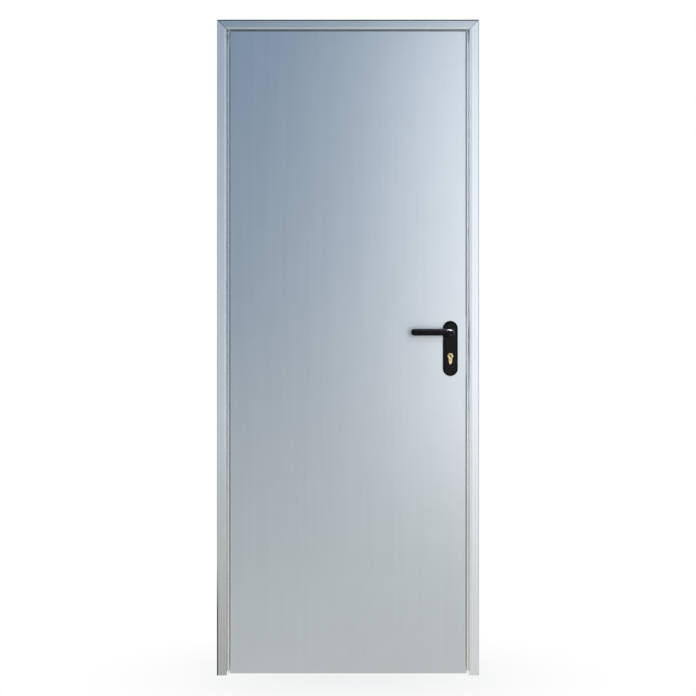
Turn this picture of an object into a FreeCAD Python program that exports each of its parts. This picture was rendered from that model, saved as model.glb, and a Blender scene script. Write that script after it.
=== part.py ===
# Galvanised steel utility door: a rebated sheet-metal leaf in a three-sided frame.
#
# Millimetres. X runs along the wall from the hinge jamb to the lock jamb, Y runs
# from the push side to the pull side, Z is up. The origin lies on the wall face of
# the hinge jamb at floor level, halfway across its front lip.
import FreeCAD
import Part
import math
import os

# Outer size of the frame
FRAME_WIDTH = 800.0
FRAME_HEIGHT = 2000.0

# Frame section, bent from one strip
FRAME_SHEET = 1.5
FRAME_BEND = 1.0
FACE_WIDTH = 24.0
STEP_WIDTH = 1.2
STEP_DROP = 0.8
BAND_WIDTH = 4.8
REBATE_DEPTH = 27.0
STOP_WIDTH = 15.0
FRONT_LIP = 14.0
REAR_LIP = 10.0
MITRE_OPENING = 1.0

# Leaf
LEAF_THICKNESS = 40.0
LEAF_RECESS = 2.0
LEAF_SHEET = 0.8
LEAF_BEND = 0.5
SEAM_STRIP = 3.5
SEAM_GROOVE = 2.0
SEAM_LIP = 6.0
EDGE_CLEARANCE = 5.0
FLOOR_CLEARANCE = 6.0
CHANNEL_SHEET = 1.0
CHANNEL_LEG = 20.0
CHANNEL_RECESS = 2.0
CORE_CLEARANCE = 1.0

# Hinges
HINGE_HEIGHT = 120.0
HINGE_INSET = 200.0
BARREL_DIAMETER = 16.0
BARREL_STANDOFF = 1.0
PIN_DIAMETER = 8.0
PIN_HEAD_DIAMETER = 12.0
PIN_HEAD_HEIGHT = 3.0
FRAME_BARREL = 35.0
BARREL_PLAY = 0.4
RUNNING_FIT = 0.15
WING_THICKNESS = 3.0
LEAF_WING_WIDTH = 42.0
WING_RELIEF = 1.5

# Lock
BACKSET = 53.0
LEVER_HEIGHT = 1046.0
LEVER_TO_CYLINDER = 72.0
FOREND_WIDTH = 22.0
FOREND_HEIGHT = 235.0
FOREND_THICKNESS = 3.0
FOREND_ABOVE_LEVER = 70.0
FOREND_FIT = 0.3
LOCK_THICKNESS = 15.0
LOCK_HEIGHT = 172.0
LOCK_ABOVE_LEVER = 46.0
LOCK_BEHIND_AXIS = 32.0
BOLT_THICKNESS = 10.0
BOLT_LENGTH = 34.0
BOLT_FIT = 0.3
LATCH_HEIGHT = 24.0
LATCH_BEVEL = 7.0
DEAD_BOLT_HEIGHT = 34.0
DEAD_BOLT_DROP = 56.0
STRIKE_CLEARANCE = 1.0
STRIKE_ALLOWANCE = 4.0
STRIKE_BOX_SHEET = 1.0
STRIKE_BOX_DEPTH = 22.0

# Profile cylinder
CYLINDER_HEAD_DIAMETER = 17.0
CYLINDER_TAIL_WIDTH = 10.0
CYLINDER_HEIGHT = 33.0
CYLINDER_PROUD = 1.5
CYLINDER_FIT = 0.3
PLUG_DIAMETER = 12.0
PLUG_LENGTH = 24.0
PLUG_FIT = 0.1
KEYWAY_WIDTH = 2.4
KEYWAY_HEIGHT = 9.5
KEYWAY_DEPTH = 18.0
KEYWAY_TILT = 28.0

# Handle plates and levers
PLATE_WIDTH = 45.0
PLATE_HEIGHT = 168.0
PLATE_ABOVE_LEVER = 35.0
PLATE_THICKNESS = 9.0
PLATE_BEVEL_WIDTH = 5.0
PLATE_BEVEL_DEPTH = 3.5
LEVER_DIAMETER = 21.0
LEVER_REACH = 122.0
LEVER_STANDOFF = 46.0
ELBOW_RADIUS = 15.0
ELBOW_STEPS = 3
DOME_STEPS = 3
NECK_FIT = 0.4
NECK_SINK = 4.0
SPINDLE_SIDE = 8.0
SPINDLE_SOCKET = 30.0
SPINDLE_HOLE = 18.0
SPINDLE_FIT = 0.05

# Wall anchors and corner plates
ANCHOR_SHEET = 2.0
ANCHOR_FOOT = 30.0
ANCHOR_LAP = 6.0
ANCHOR_TONGUE = 120.0
ANCHOR_SIDE_PLAY = 2.0
ANCHOR_NOTCH = 12.0
ANCHOR_INSET = 250.0
CLEAT_LEG = 90.0
CLEAT_THICKNESS = 2.5
CLEAT_MARGIN = 4.0

# Overshoot of cutting shapes past the faces they cut
PAST = 1.0

# Planes and levels that follow from the sizes above
FRAME_DEPTH = LEAF_RECESS + LEAF_THICKNESS
FRAME_INNER = FACE_WIDTH + STEP_WIDTH + BAND_WIDTH
REBATE_WALL = FRAME_INNER - STOP_WIDTH
Y_FRONT = -FRONT_LIP / 2
Y_REAR = Y_FRONT + FRAME_DEPTH
Y_LEAF = Y_FRONT + LEAF_RECESS
Y_MIDDLE = (Y_LEAF + Y_REAR) / 2
Y_OVERLAP = Y_FRONT + REBATE_DEPTH + EDGE_CLEARANCE
Y_LOCK = (Y_LEAF + Y_OVERLAP) / 2
X_LEAF = FRAME_INNER + EDGE_CLEARANCE
X_LEAF_END = FRAME_WIDTH - X_LEAF
X_OVERLAP = REBATE_WALL + EDGE_CLEARANCE
X_OVERLAP_END = FRAME_WIDTH - X_OVERLAP
X_STRIP = X_LEAF + SEAM_STRIP
X_SHEET = X_STRIP + SEAM_GROOVE
X_SHEET_END = FRAME_WIDTH - X_SHEET
Z_LEAF = FLOOR_CLEARANCE
Z_LEAF_TOP = FRAME_HEIGHT - X_LEAF
Z_OVERLAP_TOP = FRAME_HEIGHT - X_OVERLAP
LEAF_FOLD = LEAF_BEND + LEAF_SHEET
X_HANDLE = X_LEAF_END - BACKSET
Z_LEVER = LEVER_HEIGHT
Z_CYLINDER = LEVER_HEIGHT - LEVER_TO_CYLINDER
Z_DEAD_BOLT = LEVER_HEIGHT - DEAD_BOLT_DROP
Y_PLATE = Y_LEAF - PLATE_THICKNESS
Y_GRIP = Y_PLATE - LEVER_STANDOFF
Y_NECK = Y_PLATE + NECK_SINK
X_HINGE = (REBATE_WALL + X_OVERLAP) / 2
Y_HINGE = Y_REAR + BARREL_STANDOFF + BARREL_DIAMETER / 2
LEAF_BARREL = HINGE_HEIGHT - 2 * (FRAME_BARREL + BARREL_PLAY)
HINGE_LEVELS = {
    "lower": Z_LEAF + HINGE_INSET,
    "upper": Z_LEAF_TOP - HINGE_INSET,
}
ANCHOR_LEVELS = {
    "lower": ANCHOR_INSET,
    "middle": FRAME_HEIGHT / 2,
    "upper": FRAME_HEIGHT - ANCHOR_INSET,
}

UP = FreeCAD.Vector(0, 0, 1)
ALONG = FreeCAD.Vector(1, 0, 0)
BACK = FreeCAD.Vector(0, 1, 0)


def vec(x, y, z):
    return FreeCAD.Vector(x, y, z)


def block(x0, x1, y0, y1, z0, z1):
    """A box between two corners."""
    return Part.makeBox(x1 - x0, y1 - y0, z1 - z0, vec(x0, y0, z0))


def prism(points, sweep):
    """A flat polygon swept along a vector."""
    return Part.Face(Part.makePolygon(points + [points[0]])).extrude(sweep)


def join(first, others):
    """One solid from touching solids, without the seams between them."""
    return first.fuse(others).removeSplitter()


def at_lock_side(shape):
    """The same shape at the other side of the door."""
    return shape.mirror(vec(FRAME_WIDTH / 2, 0, 0), ALONG)


def at_rear(shape):
    """The same shape on the other face of the leaf."""
    return shape.mirror(vec(0, Y_MIDDLE, 0), BACK)


def unit(a, b):
    length = math.hypot(b[0] - a[0], b[1] - a[1])
    return ((b[0] - a[0]) / length, (b[1] - a[1]) / length)


def moved(point, direction, distance):
    return (point[0] + direction[0] * distance, point[1] + direction[1] * distance)


def bent_strip(path, sheet, bend, side, place):
    """The section of a strip bent along path, as a face.

    The path is the visible surface of the strip. The metal lies to its left where
    side is 1 and to its right where it is -1. Every bend has the inside radius bend.
    The function place turns the two coordinates of a section point into a point in
    space.
    """
    def across(direction):
        return (-side * direction[1], side * direction[0])

    heading = unit(path[0], path[1])
    near = path[0]
    far = moved(near, across(heading), sheet)
    near_edges = []
    far_edges = []
    start_cap = Part.LineSegment(place(*near), place(*far)).toShape()

    def straight(edges, a, b):
        edges.append(Part.LineSegment(place(*a), place(*b)).toShape())

    def curved(edges, a, middle, b):
        edges.append(Part.Arc(place(*a), place(*middle), place(*b)).toShape())

    for corner, after in zip(path[1:], path[2:]):
        leaving = unit(corner, after)
        turn = heading[0] * leaving[1] - heading[1] * leaving[0]
        angle = math.atan2(turn, heading[0] * leaving[0] + heading[1] * leaving[1])
        metal_inside = turn * side > 0
        near_radius = bend + sheet if metal_inside else bend
        far_radius = bend if metal_inside else bend + sheet
        reach = near_radius * math.tan(abs(angle) / 2)
        near_in = moved(corner, heading, -reach)
        near_out = moved(corner, leaving, reach)
        far_in = moved(near_in, across(heading), sheet)
        far_out = moved(near_out, across(leaving), sheet)
        to_centre = across(heading) if metal_inside else across((-heading[0], -heading[1]))
        centre = moved(near_in, to_centre, near_radius)
        outward = unit(centre, corner)
        straight(near_edges, near, near_in)
        straight(far_edges, far, far_in)
        curved(near_edges, near_in, moved(centre, outward, near_radius), near_out)
        curved(far_edges, far_in, moved(centre, outward, far_radius), far_out)
        near = near_out
        far = far_out
        heading = leaving
    near_end = path[-1]
    far_end = moved(near_end, across(heading), sheet)
    straight(near_edges, near, near_end)
    straight(far_edges, far, far_end)
    end_cap = Part.LineSegment(place(*near_end), place(*far_end)).toShape()
    return Part.Face(Part.Wire(near_edges + [end_cap] + far_edges[::-1] + [start_cap]))


def in_plan(level):
    return lambda x, y: vec(x, y, level)


def in_side_view(station):
    return lambda y, z: vec(station, y, z)


# Frame: one strip section for the two jambs and the head, cut at 45 degrees

def frame_path():
    """Visible surface of the frame strip, from the wall lip to the rear lip."""
    return [
        (0, Y_FRONT + FRONT_LIP),
        (0, Y_FRONT),
        (FACE_WIDTH, Y_FRONT),
        (FACE_WIDTH + STEP_WIDTH, Y_FRONT + STEP_DROP),
        (FRAME_INNER, Y_FRONT + STEP_DROP),
        (FRAME_INNER, Y_FRONT + REBATE_DEPTH),
        (REBATE_WALL, Y_FRONT + REBATE_DEPTH),
        (REBATE_WALL, Y_REAR),
        (0, Y_REAR),
        (0, Y_REAR - REAR_LIP),
    ]


def beyond_mitre(direction):
    """All that lies above (1) or below (-1) the mitre at the hinge corner."""
    reach = 2 * FRAME_INNER
    slack = -direction * MITRE_OPENING / math.sqrt(2)
    y = Y_FRONT - PAST
    corners = [
        vec(-reach, y, FRAME_HEIGHT + reach + slack),
        vec(reach, y, FRAME_HEIGHT - reach + slack),
        vec(reach, y, FRAME_HEIGHT + direction * 2 * reach),
        vec(-reach, y, FRAME_HEIGHT + direction * 2 * reach),
    ]
    return prism(corners, BACK * (FRAME_DEPTH + 2 * PAST))


def hinge_jamb():
    section = bent_strip(frame_path(), FRAME_SHEET, FRAME_BEND, 1, in_plan(0))
    return section.extrude(UP * FRAME_HEIGHT).cut(beyond_mitre(1))


def head_rail():
    def place(across, y):
        return vec(0, y, FRAME_HEIGHT - across)

    section = bent_strip(frame_path(), FRAME_SHEET, FRAME_BEND, 1, place)
    rail = section.extrude(ALONG * FRAME_WIDTH)
    corner = beyond_mitre(-1)
    return rail.cut(corner).cut(at_lock_side(corner))


def strike_opening(level, bolt_height, x0, x1):
    half_y = BOLT_THICKNESS / 2 + STRIKE_CLEARANCE
    half_z = bolt_height / 2 + STRIKE_ALLOWANCE
    return block(x0, x1, Y_LOCK - half_y, Y_LOCK + half_y, level - half_z, level + half_z)


def lock_jamb():
    jamb = at_lock_side(hinge_jamb())
    face = FRAME_WIDTH - FRAME_INNER
    reach = (face - PAST, face + FRAME_SHEET + PAST)
    latch_hole = strike_opening(Z_LEVER, LATCH_HEIGHT, *reach)
    bolt_hole = strike_opening(Z_DEAD_BOLT, DEAD_BOLT_HEIGHT, *reach)
    return jamb.cut(latch_hole).cut(bolt_hole)


def strike_box():
    """Open tray behind both bolt cut-outs of the lock jamb."""
    x = FRAME_WIDTH - FRAME_INNER + FRAME_SHEET
    half_y = BOLT_THICKNESS / 2 + STRIKE_CLEARANCE
    z0 = Z_DEAD_BOLT - DEAD_BOLT_HEIGHT / 2 - STRIKE_ALLOWANCE
    z1 = Z_LEVER + LATCH_HEIGHT / 2 + STRIKE_ALLOWANCE
    wall = STRIKE_BOX_SHEET
    outer = block(
        x, x + STRIKE_BOX_DEPTH,
        Y_LOCK - half_y - wall, Y_LOCK + half_y + wall, z0 - wall, z1 + wall)
    hollow = block(
        x - PAST, x + STRIKE_BOX_DEPTH - wall, Y_LOCK - half_y, Y_LOCK + half_y, z0, z1)
    return outer.cut(hollow)


def corner_cleat():
    """Flat angle behind the front faces, bridging the mitre."""
    near = CLEAT_MARGIN
    far = FACE_WIDTH - CLEAT_MARGIN
    y = Y_FRONT + FRAME_SHEET
    outline = [
        (near, CLEAT_LEG), (far, CLEAT_LEG), (far, far),
        (CLEAT_LEG, far), (CLEAT_LEG, near), (near, near),
    ]
    corners = [vec(across, y, FRAME_HEIGHT - down) for across, down in outline]
    return prism(corners, BACK * CLEAT_THICKNESS)


def wall_anchor(level):
    """Flat strap in the open back of a jamb, with a split end to bend out."""
    slot0 = Y_FRONT + FRONT_LIP
    slot1 = Y_REAR - REAR_LIP
    tongue0 = slot0 + ANCHOR_SIDE_PLAY
    tongue1 = slot1 - ANCHOR_SIDE_PLAY
    foot = level + ANCHOR_FOOT
    tip = foot + ANCHOR_TONGUE
    outline = [
        (slot0 - ANCHOR_LAP, level), (slot1 + ANCHOR_LAP, level),
        (slot1 + ANCHOR_LAP, foot), (tongue1, foot), (tongue1, tip),
        ((tongue0 + tongue1) / 2, tip - ANCHOR_NOTCH),
        (tongue0, tip), (tongue0, foot), (slot0 - ANCHOR_LAP, foot),
    ]
    corners = [vec(FRAME_SHEET, y, z) for y, z in outline]
    return prism(corners, ALONG * ANCHOR_SHEET)


# Leaf: a back tray whose edges wrap to the front, and a front sheet between the seams

def folded_box(x0, x1, y0, y1, z0, z1, radius):
    """A box with rounded folds round its two faces, except at the bottom."""
    solid = block(x0, x1, y0, y1, z0, z1)
    folds = []
    for edge in solid.Edges:
        centre = edge.CenterOfMass
        on_a_face = abs(centre.y - y0) < radius or abs(centre.y - y1) < radius
        if on_a_face and centre.z > z0 + radius:
            folds.append(edge)
    return solid.makeFillet(radius, folds)


def profile_bar(extra, y0, y1):
    """The keyhole-shaped cylinder section, swept from y0 to y1."""
    head = CYLINDER_HEAD_DIAMETER / 2
    tail = CYLINDER_TAIL_WIDTH / 2
    foot = Z_CYLINDER + head - CYLINDER_HEIGHT + tail
    sweep = y1 - y0
    bar = Part.makeCylinder(head + extra, sweep, vec(X_HANDLE, y0, Z_CYLINDER), BACK)
    web = block(X_HANDLE - tail - extra, X_HANDLE + tail + extra, y0, y1, foot, Z_CYLINDER)
    end = Part.makeCylinder(tail + extra, sweep, vec(X_HANDLE, y0, foot), BACK)
    return join(bar, [web, end])


def handle_holes():
    """Openings for the spindle and the cylinder right through the leaf."""
    y0 = Y_LEAF - PAST
    y1 = Y_REAR + PAST
    spindle = Part.makeCylinder(SPINDLE_HOLE / 2, y1 - y0, vec(X_HANDLE, y0, Z_LEVER), BACK)
    return [spindle, profile_bar(CYLINDER_FIT, y0, y1)]


def forend_plate(extra):
    """Lock face plate with rounded corners, or its cut-out where extra is given."""
    half = FOREND_WIDTH / 2 + extra
    z1 = Z_LEVER + FOREND_ABOVE_LEVER + extra
    z0 = Z_LEVER + FOREND_ABOVE_LEVER - FOREND_HEIGHT - extra
    x0 = X_LEAF_END - FOREND_THICKNESS
    plate = block(x0, X_LEAF_END, Y_LOCK - half, Y_LOCK + half, z0, z1)
    corners = [edge for edge in plate.Edges if abs(edge.tangentAt(0).x) > 0.5]
    return plate.makeFillet(FOREND_THICKNESS, corners)


def back_skin():
    sheet = LEAF_SHEET
    outer = folded_box(
        X_OVERLAP, X_OVERLAP_END, Y_OVERLAP, Y_REAR, Z_LEAF, Z_OVERLAP_TOP, LEAF_FOLD)
    inner = folded_box(
        X_OVERLAP + sheet, X_OVERLAP_END - sheet, Y_OVERLAP + sheet, Y_REAR - sheet,
        Z_LEAF - PAST, Z_OVERLAP_TOP - sheet, LEAF_BEND)
    mouth = block(
        X_LEAF, X_LEAF_END, Y_OVERLAP - PAST, Y_OVERLAP + sheet,
        Z_LEAF - PAST, Z_LEAF_TOP - sheet)
    tray = outer.cut(inner).cut(mouth)
    path = [
        (X_STRIP, Y_LEAF + SEAM_LIP),
        (X_STRIP, Y_LEAF),
        (X_LEAF, Y_LEAF),
        (X_LEAF, Y_OVERLAP + sheet),
    ]
    section = bent_strip(path, sheet, LEAF_BEND, -1, in_plan(Z_LEAF))
    edge = section.extrude(UP * (Z_LEAF_TOP - Z_LEAF))
    skin = join(tray, [edge, at_lock_side(edge)])
    return skin.cut(handle_holes() + [forend_plate(FOREND_FIT)])


def front_skin():
    sheet = LEAF_SHEET
    fold_level = Z_LEAF_TOP - 2 * LEAF_FOLD
    path = [
        (X_SHEET, Y_LEAF + SEAM_LIP),
        (X_SHEET, Y_LEAF),
        (X_SHEET_END, Y_LEAF),
        (X_SHEET_END, Y_LEAF + SEAM_LIP),
    ]
    section = bent_strip(path, sheet, LEAF_BEND, 1, in_plan(Z_LEAF))
    panel = section.extrude(UP * (fold_level - Z_LEAF))
    top_path = [(Y_LEAF, fold_level), (Y_LEAF, Z_LEAF_TOP), (Y_OVERLAP, Z_LEAF_TOP)]
    x0 = X_SHEET + LEAF_FOLD
    top_section = bent_strip(top_path, sheet, LEAF_BEND, -1, in_side_view(x0))
    top = top_section.extrude(ALONG * (FRAME_WIDTH - 2 * x0))
    tab = block(
        X_LEAF + sheet, x0, Y_LEAF + SEAM_LIP + PAST, Y_OVERLAP, Z_LEAF_TOP - sheet, Z_LEAF_TOP)
    return join(panel, [top, tab, at_lock_side(tab)]).cut(handle_holes())


def bottom_channel():
    y0 = Y_LEAF + LEAF_SHEET
    y1 = Y_REAR - LEAF_SHEET
    web = Z_LEAF + CHANNEL_RECESS
    path = [(y0, web + CHANNEL_LEG), (y0, web), (y1, web), (y1, web + CHANNEL_LEG)]
    x0 = X_SHEET + LEAF_SHEET + CORE_CLEARANCE
    section = bent_strip(path, CHANNEL_SHEET, CHANNEL_SHEET, 1, in_side_view(x0))
    return section.extrude(ALONG * (FRAME_WIDTH - 2 * x0))


def leaf_core():
    x0 = X_SHEET + LEAF_SHEET + CORE_CLEARANCE
    z0 = Z_LEAF + CHANNEL_RECESS + CHANNEL_LEG + CORE_CLEARANCE
    z1 = Z_LEAF_TOP - LEAF_SHEET - CORE_CLEARANCE
    core = block(x0, FRAME_WIDTH - x0, Y_LEAF + LEAF_SHEET, Y_REAR - LEAF_SHEET, z0, z1)
    window = block(
        X_HANDLE - LOCK_BEHIND_AXIS - CORE_CLEARANCE, FRAME_WIDTH,
        Y_LEAF, Y_REAR,
        Z_LEVER + LOCK_ABOVE_LEVER - LOCK_HEIGHT - CORE_CLEARANCE,
        Z_LEVER + LOCK_ABOVE_LEVER + CORE_CLEARANCE)
    return core.cut(window)


# Lock, cylinder and handles

def bolt_way(level, height):
    """Room for a bolt through the forend and into the lock."""
    half_y = BOLT_THICKNESS / 2 + BOLT_FIT
    half_z = height / 2 + BOLT_FIT
    return block(
        X_LEAF_END - BOLT_LENGTH - BOLT_FIT, X_LEAF_END + PAST,
        Y_LOCK - half_y, Y_LOCK + half_y, level - half_z, level + half_z)


def bolt_ways():
    return [bolt_way(Z_LEVER, LATCH_HEIGHT), bolt_way(Z_DEAD_BOLT, DEAD_BOLT_HEIGHT)]


def lock_body():
    half = LOCK_THICKNESS / 2
    top = Z_LEVER + LOCK_ABOVE_LEVER
    housing = block(
        X_HANDLE - LOCK_BEHIND_AXIS, X_LEAF_END - FOREND_THICKNESS,
        Y_LOCK - half, Y_LOCK + half, top - LOCK_HEIGHT, top)
    return housing.cut(handle_holes() + bolt_ways())


def lock_forend():
    return forend_plate(0).cut(bolt_ways())


def latch_bolt():
    """Drawn-back latch, sloped on the side that meets the frame when closing."""
    x0 = X_LEAF_END - BOLT_LENGTH
    y0 = Y_LOCK - BOLT_THICKNESS / 2
    y1 = Y_LOCK + BOLT_THICKNESS / 2
    z0 = Z_LEVER - LATCH_HEIGHT / 2
    outline = [(x0, y0), (X_LEAF_END - LATCH_BEVEL, y0), (X_LEAF_END, y1), (x0, y1)]
    return prism([vec(x, y, z0) for x, y in outline], UP * LATCH_HEIGHT)


def dead_bolt():
    half_y = BOLT_THICKNESS / 2
    half_z = DEAD_BOLT_HEIGHT / 2
    return block(
        X_LEAF_END - BOLT_LENGTH, X_LEAF_END, Y_LOCK - half_y, Y_LOCK + half_y,
        Z_DEAD_BOLT - half_z, Z_DEAD_BOLT + half_z)


def plug_bar(extra, length):
    start = vec(X_HANDLE, Y_PLATE - CYLINDER_PROUD, Z_CYLINDER)
    return Part.makeCylinder(PLUG_DIAMETER / 2 + extra, length, start, BACK)


def cylinder_body():
    front = Y_PLATE - CYLINDER_PROUD
    bar = profile_bar(0, front, 2 * Y_MIDDLE - front)
    bore = plug_bar(PLUG_FIT, PLUG_LENGTH + PLUG_FIT)
    return bar.cut([bore, at_rear(bore)])


def cylinder_plug():
    front = Y_PLATE - CYLINDER_PROUD
    keyway = block(
        X_HANDLE - KEYWAY_WIDTH / 2, X_HANDLE + KEYWAY_WIDTH / 2, front - PAST, front + KEYWAY_DEPTH,
        Z_CYLINDER - KEYWAY_HEIGHT / 2, Z_CYLINDER + KEYWAY_HEIGHT / 2)
    keyway.rotate(vec(X_HANDLE, front, Z_CYLINDER), BACK, -KEYWAY_TILT)
    return plug_bar(0, PLUG_LENGTH).cut(keyway)


def handle_plate():
    """Long plate with half-round ends and a bevelled rim round its flat field."""
    radius = PLATE_WIDTH / 2
    top = Z_LEVER + PLATE_ABOVE_LEVER - radius
    bottom = Z_LEVER + PLATE_ABOVE_LEVER - PLATE_HEIGHT + radius
    left = X_HANDLE - radius
    right = X_HANDLE + radius
    outline = Part.Wire([
        Part.LineSegment(vec(left, Y_LEAF, bottom), vec(left, Y_LEAF, top)).toShape(),
        Part.Arc(
            vec(left, Y_LEAF, top), vec(X_HANDLE, Y_LEAF, top + radius), vec(right, Y_LEAF, top)).toShape(),
        Part.LineSegment(vec(right, Y_LEAF, top), vec(right, Y_LEAF, bottom)).toShape(),
        Part.Arc(
            vec(right, Y_LEAF, bottom), vec(X_HANDLE, Y_LEAF, bottom - radius),
            vec(left, Y_LEAF, bottom)).toShape(),
    ])
    plate = Part.Face(outline).extrude(BACK * -PLATE_THICKNESS)
    rim = [edge for edge in plate.Edges if edge.BoundBox.YMax < Y_PLATE + PLATE_BEVEL_DEPTH]
    plate = plate.makeChamfer(PLATE_BEVEL_DEPTH, PLATE_BEVEL_WIDTH, rim)
    neck_hole = Part.makeCylinder(
        LEVER_DIAMETER / 2 + NECK_FIT, PLATE_THICKNESS + 2 * PAST,
        vec(X_HANDLE, Y_PLATE - PAST, Z_LEVER), BACK)
    cylinder_hole = profile_bar(CYLINDER_FIT, Y_PLATE - PAST, Y_LEAF + PAST)
    return plate.cut([neck_hole, cylinder_hole])


def lever():
    """Round bar: a neck out of the plate, a bend in short mitred lengths, a domed grip."""
    radius = LEVER_DIAMETER / 2
    tip = X_HANDLE - LEVER_REACH
    route = [vec(X_HANDLE, Y_NECK, Z_LEVER)]
    for step in range(ELBOW_STEPS + 1):
        angle = math.radians(90 * step / ELBOW_STEPS)
        route.append(vec(
            X_HANDLE - ELBOW_RADIUS * (1 - math.cos(angle)),
            Y_GRIP + ELBOW_RADIUS * (1 - math.sin(angle)), Z_LEVER))
    route.append(vec(tip + radius, Y_GRIP, Z_LEVER))
    ring = Part.Wire(Part.makeCircle(radius, route[0], BACK))
    mitred = 1
    bar = Part.makePolygon(route).makePipeShell([ring], True, False, mitred)
    half_dome = [vec(tip + radius, Y_GRIP, Z_LEVER)]
    for step in range(DOME_STEPS + 1):
        angle = math.radians(90 * step / DOME_STEPS)
        half_dome.append(vec(
            tip + radius * (1 - math.cos(angle)), Y_GRIP, Z_LEVER + radius * math.sin(angle)))
    outline = Part.makePolygon(half_dome + half_dome[:1])
    dome = Part.Face(outline).revolve(half_dome[0], ALONG, 360)
    return join(bar, [dome]).cut(square_bar(SPINDLE_FIT, Y_NECK + PAST))


def square_bar(extra, y1):
    """The spindle from its front end to y1."""
    half = SPINDLE_SIDE / 2 + extra
    return block(
        X_HANDLE - half, X_HANDLE + half, Y_NECK - SPINDLE_SOCKET - extra, y1,
        Z_LEVER - half, Z_LEVER + half)


def spindle():
    front = Y_NECK - SPINDLE_SOCKET
    return square_bar(0, 2 * Y_MIDDLE - front)


# Hinges: two frame barrels, one leaf barrel between them and a headed pin

def barrel(radius, z0, length):
    return Part.makeCylinder(radius, length, vec(X_HINGE, Y_HINGE, z0), UP)


def pin_bore(level):
    reach = HINGE_HEIGHT / 2 + PAST
    return barrel(PIN_DIAMETER / 2 + RUNNING_FIT, level - reach, 2 * reach)


def hinge_frame_wing(level):
    radius = BARREL_DIAMETER / 2
    half = HINGE_HEIGHT / 2
    lower_end = level - half + FRAME_BARREL
    upper_end = level + half - FRAME_BARREL
    plate = block(FRAME_SHEET, X_HINGE, Y_REAR, Y_REAR + WING_THICKNESS, level - half, level + half)
    relief = block(
        X_HINGE - radius - WING_RELIEF, X_HINGE + PAST, Y_REAR - PAST, Y_REAR + WING_THICKNESS + PAST,
        lower_end, upper_end)
    barrels = [
        barrel(radius, level - half, FRAME_BARREL),
        barrel(radius, upper_end, FRAME_BARREL),
    ]
    return join(plate.cut(relief), barrels).cut(pin_bore(level))


def hinge_leaf_wing(level):
    radius = BARREL_DIAMETER / 2
    half = HINGE_HEIGHT / 2
    lower_end = level - LEAF_BARREL / 2
    upper_end = level + LEAF_BARREL / 2
    plate = block(
        X_HINGE, X_HINGE + LEAF_WING_WIDTH, Y_REAR, Y_REAR + WING_THICKNESS, level - half, level + half)
    for z0, z1 in ((level - half - PAST, lower_end), (upper_end, level + half + PAST)):
        plate = plate.cut(block(
            X_HINGE - PAST, X_HINGE + radius + WING_RELIEF,
            Y_REAR - PAST, Y_REAR + WING_THICKNESS + PAST, z0, z1))
    return join(plate, [barrel(radius, lower_end, LEAF_BARREL)]).cut(pin_bore(level))


def hinge_pin(level):
    half = HINGE_HEIGHT / 2
    head = PIN_HEAD_DIAMETER / 2
    shaft = barrel(PIN_DIAMETER / 2, level - half, HINGE_HEIGHT)
    heads = [
        barrel(head, level - half - PIN_HEAD_HEIGHT, PIN_HEAD_HEIGHT),
        barrel(head, level + half, PIN_HEAD_HEIGHT),
    ]
    return join(shaft, heads)


def all_parts():
    parts = {
        "hinge_jamb": hinge_jamb(),
        "lock_jamb": lock_jamb(),
        "head_rail": head_rail(),
        "hinge_corner_cleat": corner_cleat(),
        "lock_corner_cleat": at_lock_side(corner_cleat()),
        "strike_box": strike_box(),
        "front_skin": front_skin(),
        "back_skin": back_skin(),
        "leaf_core": leaf_core(),
        "bottom_channel": bottom_channel(),
        "lock_body": lock_body(),
        "lock_forend": lock_forend(),
        "latch_bolt": latch_bolt(),
        "dead_bolt": dead_bolt(),
        "cylinder_body": cylinder_body(),
        "front_plug": cylinder_plug(),
        "rear_plug": at_rear(cylinder_plug()),
        "front_plate": handle_plate(),
        "rear_plate": at_rear(handle_plate()),
        "front_lever": lever(),
        "rear_lever": at_rear(lever()),
        "spindle": spindle(),
    }
    for name, level in ANCHOR_LEVELS.items():
        parts["hinge_anchor_" + name] = wall_anchor(level)
        parts["lock_anchor_" + name] = at_lock_side(wall_anchor(level))
    for name, level in HINGE_LEVELS.items():
        parts[name + "_hinge_frame_wing"] = hinge_frame_wing(level)
        parts[name + "_hinge_leaf_wing"] = hinge_leaf_wing(level)
        parts[name + "_hinge_pin"] = hinge_pin(level)
    return parts


os.makedirs("parts", exist_ok=True)
for node, shape in all_parts().items():
    shape.exportStep("parts/" + node + ".step")
    print(node, "valid" if shape.isValid() else "NOT VALID", len(shape.Solids), round(shape.Volume))
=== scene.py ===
# %% [markdown]
# # A galvanised steel utility door
# The door is a flat leaf of folded zinc-coated sheet in a three-sided frame of the same metal,
# with a black lever set and a brass cylinder. Its solids come in as a fixed frame, in metres:
# X runs from the hinge side to the lock side, Y from the push side to the pull side, Z is up.
# This lesson gives the solids their finishes, makes the rounded and the small pieces, and sets
# up the light and the camera.

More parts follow.
